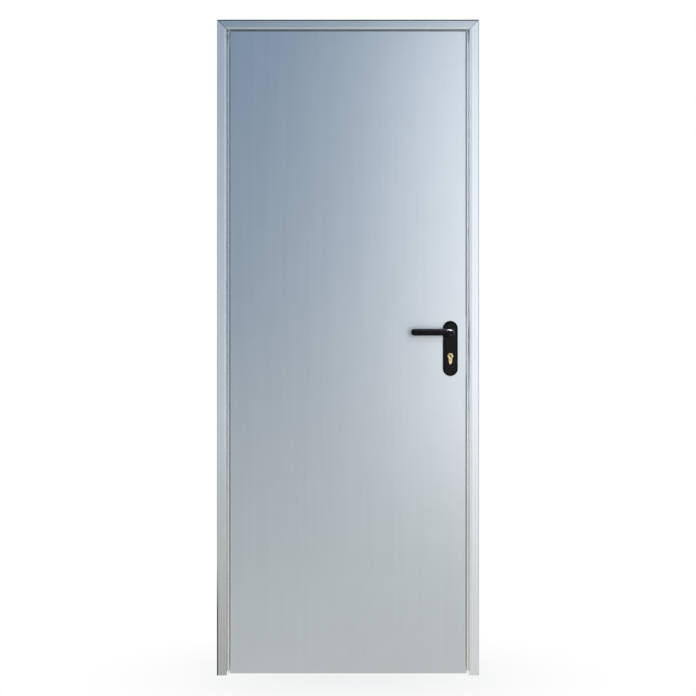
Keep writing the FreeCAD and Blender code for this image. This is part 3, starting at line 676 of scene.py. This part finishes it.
bar = add(bar_tree, "GeometryNodeCurveToMesh", ("Fill Caps", True),
          ("Curve", rings.outputs["Curve"]), ("Profile Curve", circle.outputs["Curve"]),
          ("Scale", dome.outputs[0]))
closed = add(bar_tree, "GeometryNodeMergeByDistance", ("Distance", TIP_MERGE),
             ("Geometry", bar.outputs["Mesh"]))
close_tree(bar_tree, closed.outputs["Geometry"], given["Finish"])

# %% Make both levers
ELBOW_RADIUS = 15 * MM
RING_STEP = 0.7 * MM


def lever_bar(node, name):
    """A round bar along the centre line of a lever solid."""
    low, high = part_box(node)
    radius = (high.z - low.z) / 2
    front = node.startswith("front")
    root = high.y if front else low.y
    grip = low.y + radius if front else high.y - radius
    turn = high.x - radius
    height = low.z + radius
    points = [(turn, root, height), (turn, grip, height), (low.x, grip, height)]
    mesh = grown(name, points, [(0, 1), (1, 2)], bar_tree, {
        "Radius": radius, "Bend": ELBOW_RADIUS, "Step": RING_STEP, "Finish": polyamide})
    shade_by_area(mesh)
    piece = new_piece(name, mesh, None, "lever")
    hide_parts(node)
    return piece


for side in ("front", "rear"):
    piece = lever_bar(side + "_lever", side + "_lever_bar")
    print(piece.name, "faces", len(piece.data.polygons))

# %% [markdown]
# ## Screws and welds
# Three kinds of small fastening repeat. Screws hold the hinges to the leaf, the plates together
# and the lock in the leaf's edge: a low head with a cross recess. Spot welds hold the wall straps
# in the jambs, and short beads hold the hinges to the frame: low grey lumps that overlap in a row.
# Two tacks close the mitre on the hinge side. Each could be placed by hand, but a node tree sets
# one form on all points, turned to the side that it faces, with a fixed seed for the small
# differences that handwork leaves.

# %% Node trees: forms set on points
FASTENING_INPUTS = [
    ("Radius", "Float"), ("Height", "Float"), ("Facing", "Vector"), ("Seed", "Int"),
    ("Finish", "Material")]
# A Random Value node has sockets for every kind of data, and the limits of a float are these.
LEAST, MOST = 2, 3


def set_on_points(tree, given, form, smallest):
    """Ends a tree: the form on every point, turned to Facing, spun and scaled by Seed."""
    facing = add(tree, "FunctionNodeAlignRotationToVector", ("axis", "Z"),
                 ("Vector", given["Facing"]))
    spin = add(tree, "FunctionNodeRandomValue", ("data_type", "FLOAT"), (MOST, math.tau),
               ("Seed", given["Seed"]))
    turn = add(tree, "FunctionNodeAxisAngleToRotation", ("Axis", (0, 0, 1)),
               ("Angle", spin.outputs[1]))
    size = add(tree, "FunctionNodeRandomValue", ("data_type", "FLOAT"), (LEAST, smallest),
               (MOST, 1.0), ("Seed", given["Seed"]))
    copies = add(tree, "GeometryNodeInstanceOnPoints", ("Points", given["Geometry"]),
                 ("Instance", form), ("Rotation", facing.outputs["Rotation"]),
                 ("Scale", size.outputs[1]))
    spun = add(tree, "GeometryNodeRotateInstances", ("Instances", copies.outputs["Instances"]),
               ("Rotation", turn.outputs["Rotation"]))
    close_tree(tree, spun.outputs["Instances"], given["Finish"])


print("inputs of a fastening:", [label for label, _ in FASTENING_INPUTS])

# %% Node tree: screws with a cross recess
TOP_SHARE = 0.72
HEAD_SIDES = 32
RECESS_LENGTH, RECESS_WIDTH = 1.05, 0.24
RECESS_DEPTH = 1.2

screw_tree, given = new_tree("screw_set", FASTENING_INPUTS)
sizes = {}
for part, whole, share in (("top", "Radius", TOP_SHARE), ("arm", "Radius", RECESS_LENGTH),
                           ("blade", "Radius", RECESS_WIDTH), ("deep", "Height", RECESS_DEPTH)):
    sizes[part] = add(screw_tree, "ShaderNodeMath", ("operation", "MULTIPLY"),
                      (0, given[whole]), (1, share)).outputs[0]
head = add(screw_tree, "GeometryNodeMeshCone", ("Vertices", HEAD_SIDES),
           ("Radius Top", sizes["top"]), ("Radius Bottom", given["Radius"]),
           ("Depth", given["Height"]))
slots = []
for length, width in (("arm", "blade"), ("blade", "arm")):
    box = add(screw_tree, "ShaderNodeCombineXYZ",
              ("X", sizes[length]), ("Y", sizes[width]), ("Z", sizes["deep"]))
    slots.append(add(screw_tree, "GeometryNodeMeshCube", ("Size", box.outputs["Vector"])))
cross = add(screw_tree, "GeometryNodeMeshBoolean", ("operation", "UNION"), ("solver", "EXACT"),
            *[("Mesh 2", slot.outputs["Mesh"]) for slot in slots])
lift = add(screw_tree, "ShaderNodeCombineXYZ", ("Z", given["Height"]))
raised = add(screw_tree, "GeometryNodeTransform", ("Geometry", cross.outputs["Mesh"]),
             ("Translation", lift.outputs["Vector"]))
recessed = add(screw_tree, "GeometryNodeMeshBoolean", ("operation", "DIFFERENCE"),
               ("solver", "EXACT"), ("Mesh 1", head.outputs["Mesh"]),
               ("Mesh 2", raised.outputs["Geometry"]))
set_on_points(screw_tree, given, recessed.outputs["Mesh"], 1.0)

# %% Node tree: weld lumps
LUMP_SIDES, LUMP_RINGS = 20, 12
LUMP_OVAL = 0.85
SMALLEST_LUMP = 0.8

weld_tree, given = new_tree("weld_set", FASTENING_INPUTS)
lump = add(weld_tree, "GeometryNodeMeshUVSphere", ("Segments", LUMP_SIDES), ("Rings", LUMP_RINGS),
           ("Radius", given["Radius"]))
flat = add(weld_tree, "ShaderNodeMath", ("operation", "DIVIDE"),
           (0, given["Height"]), (1, given["Radius"]))
squeeze = add(weld_tree, "ShaderNodeCombineXYZ", ("X", 1.0), ("Y", LUMP_OVAL),
              ("Z", flat.outputs[0]))
pressed = add(weld_tree, "GeometryNodeTransform", ("Geometry", lump.outputs["Mesh"]),
              ("Scale", squeeze.outputs["Vector"]))
set_on_points(weld_tree, given, pressed.outputs["Geometry"], SMALLEST_LUMP)

# %% [markdown]
# The screws of a hinge wing stand in a staggered pattern, so that they don't split the sheet along
# one line. Those of the plate sit near its ends, and those of the lock face near its ends and
# beside the cylinder. Their places are measured from the boxes of the solids that they hold.

# %% Places of the screws
WING_THICKNESS = 3 * MM
WING_SCREWS = [(-10, -46), (-10, 46), (-23, -30), (-23, 30)]
PLATE_SCREW_INSET = 13 * MM
FOREND_SCREW_INSET = 10 * MM
CYLINDER_SCREW_DROP = 18 * MM


def fastened(name, tree, points, sizes, facing, seed, finish, body):
    """One piece with a fastening of the given radius and height on each of the points."""
    radius, height = sizes
    mesh = grown(name, points, [], tree, {
        "Radius": radius * MM, "Height": height * MM, "Facing": facing, "Seed": seed,
        "Finish": finish})
    mesh.set_sharp_from_angle(angle=SHARP_FROM)
    print(name, len(points), "faces", len(mesh.polygons))
    return new_piece(name, mesh, None, body)


wing_points = []
for level in ("lower", "upper"):
    low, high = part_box(level + "_hinge_leaf_wing")
    middle = (low.z + high.z) / 2
    for x, z in WING_SCREWS:
        wing_points.append((high.x + x * MM, low.y + WING_THICKNESS, middle + z * MM))
low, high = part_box("rear_plate")
middle = (low.x + high.x) / 2
plate_levels = [low.z + PLATE_SCREW_INSET, high.z - PLATE_SCREW_INSET]
plate_points = [(middle, high.y, z) for z in plate_levels]
low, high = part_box("lock_forend")
middle = (low.y + high.y) / 2
forend_levels = [low.z + FOREND_SCREW_INSET, plug_axis.z - CYLINDER_SCREW_DROP,
                 high.z - FOREND_SCREW_INSET]
forend_points = [(high.x, middle, z) for z in forend_levels]
SCREWS = [
    ("leaf_wing_screws", wing_points, (4.2, 1.8), (0, 1, 0)),
    ("rear_plate_screws", plate_points, (3.6, 1.6), (0, 1, 0)),
    ("forend_screws", forend_points, (3.4, 0.8), (1, 0, 0)),
]
for seed, (name, points, sizes, facing) in enumerate(SCREWS):
    fastened(name, screw_tree, points, sizes, facing, seed, plate_zinc, "leaf")

# %% [markdown]
# A bead is laid in a row of small pools that freeze over each other, so its lumps stand closer
# than they are wide. The straps have four spot welds each, two on either lip of the jamb. The
# tacks lie on the slanting line of the mitre.

# %% Places of the welds
BEAD_LENGTH = 24 * MM
BEAD_STEP = 1.3 * MM
BEAD_INSET = 6 * MM
FRAME_SHEET = 1.5 * MM
STRAP_WELD_LEVELS = (8 * MM, 22 * MM)
LIP_LAP = 3 * MM
TACKS = (10 * MM, 23 * MM)

bead_points = []
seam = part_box("hinge_jamb")[0].x + FRAME_SHEET
for level in ("lower", "upper"):
    low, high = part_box(level + "_hinge_frame_wing")
    for start in (low.z + BEAD_INSET, high.z - BEAD_INSET - BEAD_LENGTH):
        for step in range(int(BEAD_LENGTH / BEAD_STEP)):
            bead_points.append((seam, low.y, start + step * BEAD_STEP))
strap_points = {"hinge": [], "lock": []}
for side, points in strap_points.items():
    jamb_low, jamb_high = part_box(side + "_jamb")
    wall = jamb_low.x if side == "hinge" else jamb_high.x
    for level in ("lower", "middle", "upper"):
        low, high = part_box(side + "_anchor_" + level)
        for y in (low.y + LIP_LAP, high.y - LIP_LAP):
            for lift in STRAP_WELD_LEVELS:
                points.append((wall, y, low.z + lift))
low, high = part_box("head_rail")
tack_points = [(low.x + inset, low.y, high.z - inset) for inset in TACKS]
WELDS = [
    ("hinge_weld_beads", bead_points, (1.5, 1.5), (0, 1, 0), brushed_weld),
    ("hinge_strap_welds", strap_points["hinge"], (2.6, 0.3), (-1, 0, 0), burnt_zinc_and_gap_shade),
    ("lock_strap_welds", strap_points["lock"], (2.6, 0.3), (1, 0, 0), burnt_zinc_and_gap_shade),
    ("mitre_tacks", tack_points, (1.6, 0.5), (0, -1, 0), burnt_zinc_and_gap_shade),
]
for seed, (name, points, sizes, facing, finish) in enumerate(WELDS):
    piece = fastened(name, weld_tree, points, sizes, facing, seed, finish, "frame")
    piece.data.polygons.foreach_set("use_smooth", [True] * len(piece.data.polygons))

# %% [markdown]
# ## The camera
# The photograph was taken square on, from the middle of the door, and shows almost no
# perspective. A long lens at a photographer's distance gives the same picture: its focal length
# follows from the distance and the width that the picture covers at the face of the frame.

# %% Camera
CAMERA_DISTANCE = 5.0
PICTURE_WIDTH = 2.122
CAMERA_HEIGHT = 0.9985

frame_low, frame_high = cad_box
lens = bpy.data.cameras.new("camera")
lens.lens = lens.sensor_width * CAMERA_DISTANCE / PICTURE_WIDTH
camera = bpy.data.objects.new("camera", lens)
bpy.context.scene.collection.objects.link(camera)
face_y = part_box("lock_jamb")[0].y
camera.location = ((frame_low[0] + frame_high[0]) / 2, face_y - CAMERA_DISTANCE, CAMERA_HEIGHT)
camera.rotation_euler = (math.radians(90), 0, 0)
bpy.context.scene.camera = camera
print("lens", round(lens.lens, 1), "mm")

# %% [markdown]
# ## The studio
# Satin metal shows its room more than its own colour. In the photograph the leaf fades from a
# cool grey at the upper left to almost white at the right, and to a neutral grey near the floor.
# So the room has a cool, darker wall on the camera's side and the right, a dark ceiling, a pale
# floor, and one tall softbox in front on the right. It is wide and weak rather than small and
# strong, so that the leaf keeps its tone from wherever it mirrors the lamp. To the left the room
# is white, and behind the door it is a pale grey, so that the bright metal there keeps its
# shading. The camera itself sees white everywhere.

# %% World
WHITE = "#FFFFFF"
BACK_LEFT = (-0.6, 1.0, 0.0)
FILL_STRENGTH = 0.9

world = bpy.data.worlds.new("studio")
bpy.context.scene.world = world
world.use_nodes = True
tree = world.node_tree
tree.nodes.clear()
path = add(tree, "ShaderNodeLightPath").outputs
towards = add(tree, "ShaderNodeTexCoord").outputs["Generated"]
axes = add(tree, "ShaderNodeSeparateXYZ", ("Vector", towards)).outputs
behind = add(tree, "ShaderNodeVectorMath", ("operation", "DOT_PRODUCT"), (0, towards),
             (1, BACK_LEFT)).outputs["Value"]
ROOM = [
    ("cool wall", behind, 0.3, -0.2, "#8EA7C2"),
    ("back room", axes["Y"], 0.0, 0.4, "#D6DCE2"),
    ("ceiling", axes["Z"], 0.4, 0.8, "#141A22"),
    ("camera's white", path["Is Camera Ray"], 0.0, 1.0, WHITE),
]
seen = linear(WHITE)
for _, value, start, end, colour in ROOM:
    share = add(tree, "ShaderNodeMapRange", ("interpolation_type", "SMOOTHSTEP"),
                ("Value", value), ("From Min", start), ("From Max", end))
    seen = add(tree, "ShaderNodeMix", ("data_type", "RGBA"), (SHARE, share.outputs["Result"]),
               (UNDER, seen), (OVER, linear(colour))).outputs[MIXED]
backdrop = add(tree, "ShaderNodeBackground", ("Strength", 1.0), ("Color", seen))
fill = add(tree, "ShaderNodeBackground", ("Color", linear("#C9D3DF")), ("Strength", FILL_STRENGTH))
direct = add(tree, "ShaderNodeMath", ("operation", "MAXIMUM"),
             (0, path["Is Camera Ray"]), (1, path["Is Glossy Ray"]))
room = add(tree, "ShaderNodeMixShader", (0, direct.outputs[0]), (1, fill.outputs[0]),
           (2, backdrop.outputs[0]))
add(tree, "ShaderNodeOutputWorld", ("Surface", room.outputs[0]))
print("room of", [row[0] for row in ROOM])

# %% [markdown]
# A black lever shows only what it mirrors. In the photograph one window lights the elbow of the
# front lever from above. The same lamp would flood the pale metal round it, so it is linked to
# the lever alone.

# %% Lamps
def softbox(name, place, aim, width, height, watts, colour):
    """A rectangular lamp at place, turned to aim."""
    lamp = bpy.data.lights.new(name, "AREA")
    lamp.shape = "RECTANGLE"
    lamp.size = width
    lamp.size_y = height
    lamp.energy = watts
    lamp.color = linear(colour)[:3]
    stand = bpy.data.objects.new(name, lamp)
    bpy.context.scene.collection.objects.link(stand)
    stand.location = place
    stand.rotation_euler = (Vector(aim) - Vector(place)).to_track_quat("-Z", "Y").to_euler()
    return stand


softbox("right_softbox", place=(1.3, -2.6, 1.56), aim=(0.6, 0, 1.2), width=1.0, height=2.48,
        watts=14.1, colour="#FFF7F0")
glint = softbox("lever_glint", place=(1.4, 0.08, 2.3), aim=(0.712, -0.06, 1.05), width=0.9,
                height=1.1, watts=380.0, colour="#F1ECFF")
receivers = bpy.data.collections.new("glint_receivers")
receivers.objects.link(bpy.data.objects["front_lever_bar"])
glint.light_linking.receiver_collection = receivers

# %% [markdown]
# The floor is a sheet of white paper. The camera sees it white, with a soft shadow close to the
# door. The metal mirrors it a little warmer than the walls, and at the sides and behind it
# mirrors a grey floor beyond the paper, which gives the edges of the open leaf their shading.

# %% Floor
FLOOR_REACH = 20.0
SHADOW_REACH = 0.9
SHADOW_WHITE = 0.8
PAPER_REACH, GREY_FROM = 1.5, 3.5
MIDDLE = WHOLE_WIDTH / 2

floor_mesh = bpy.data.meshes.new("floor")
corners = [(x * FLOOR_REACH, y * FLOOR_REACH, 0) for x, y in ((-1, -1), (1, -1), (1, 1), (-1, 1))]
floor_mesh.from_pydata(corners, [], [(0, 1, 2, 3)])
floor = bpy.data.objects.new("floor", floor_mesh)
bpy.context.scene.collection.objects.link(floor)
paper, tree, place, shader = new_finish("paper_floor", ("Base Color", linear("#E2E2E2")),
                                        ("Roughness", 0.9))
path = add(tree, "ShaderNodeLightPath").outputs
off_door = add(tree, "ShaderNodeVectorMath", ("operation", "DISTANCE"), (0, place),
               (1, (MIDDLE, 0.0, 0.0)))
away = add(tree, "ShaderNodeMapRange", ("interpolation_type", "SMOOTHSTEP"),
           ("Value", off_door.outputs["Value"]), ("From Max", SHADOW_REACH),
           ("To Min", SHADOW_WHITE))
seen_white = add(tree, "ShaderNodeMath", ("operation", "MULTIPLY"),
                 (0, path["Is Camera Ray"]), (1, away.outputs["Result"]))
white = add(tree, "ShaderNodeEmission", ("Color", linear(WHITE)), ("Strength", 1.0))
to_camera = add(tree, "ShaderNodeMixShader", (0, seen_white.outputs[0]), (1, shader.outputs[0]),
                (2, white.outputs[0]))
axes = add(tree, "ShaderNodeSeparateXYZ", ("Vector", place)).outputs
sideways = add(tree, "ShaderNodeMath", ("operation", "SUBTRACT"), (0, axes["X"]), (1, MIDDLE))
aside = add(tree, "ShaderNodeMath", ("operation", "ABSOLUTE"), (0, sideways.outputs[0]))
farther = add(tree, "ShaderNodeMath", ("operation", "MAXIMUM"), (0, aside.outputs[0]), (1, axes["Y"]))
past_paper = add(tree, "ShaderNodeMapRange", ("interpolation_type", "SMOOTHSTEP"),
                 ("Value", farther.outputs[0]), ("From Min", PAPER_REACH), ("From Max", GREY_FROM))
ground = add(tree, "ShaderNodeMix", ("data_type", "RGBA"), (SHARE, past_paper.outputs["Result"]),
             (UNDER, linear("#F5F1EA")), (OVER, linear("#A9ACAF")))
warm = add(tree, "ShaderNodeEmission", ("Strength", 1.0), ("Color", ground.outputs[MIXED]))
to_metal = add(tree, "ShaderNodeMixShader", (0, path["Is Glossy Ray"]),
               (1, to_camera.outputs[0]), (2, warm.outputs[0]))
tree.links.new(to_metal.outputs[0], tree.nodes["Material Output"].inputs["Surface"])
floor_mesh.materials.append(paper)
print("floor", floor.name)

# %% [markdown]
# ## View
# The Standard view shows each colour as it is written.

# %% View
bpy.context.scene.view_settings.view_transform = "Standard"
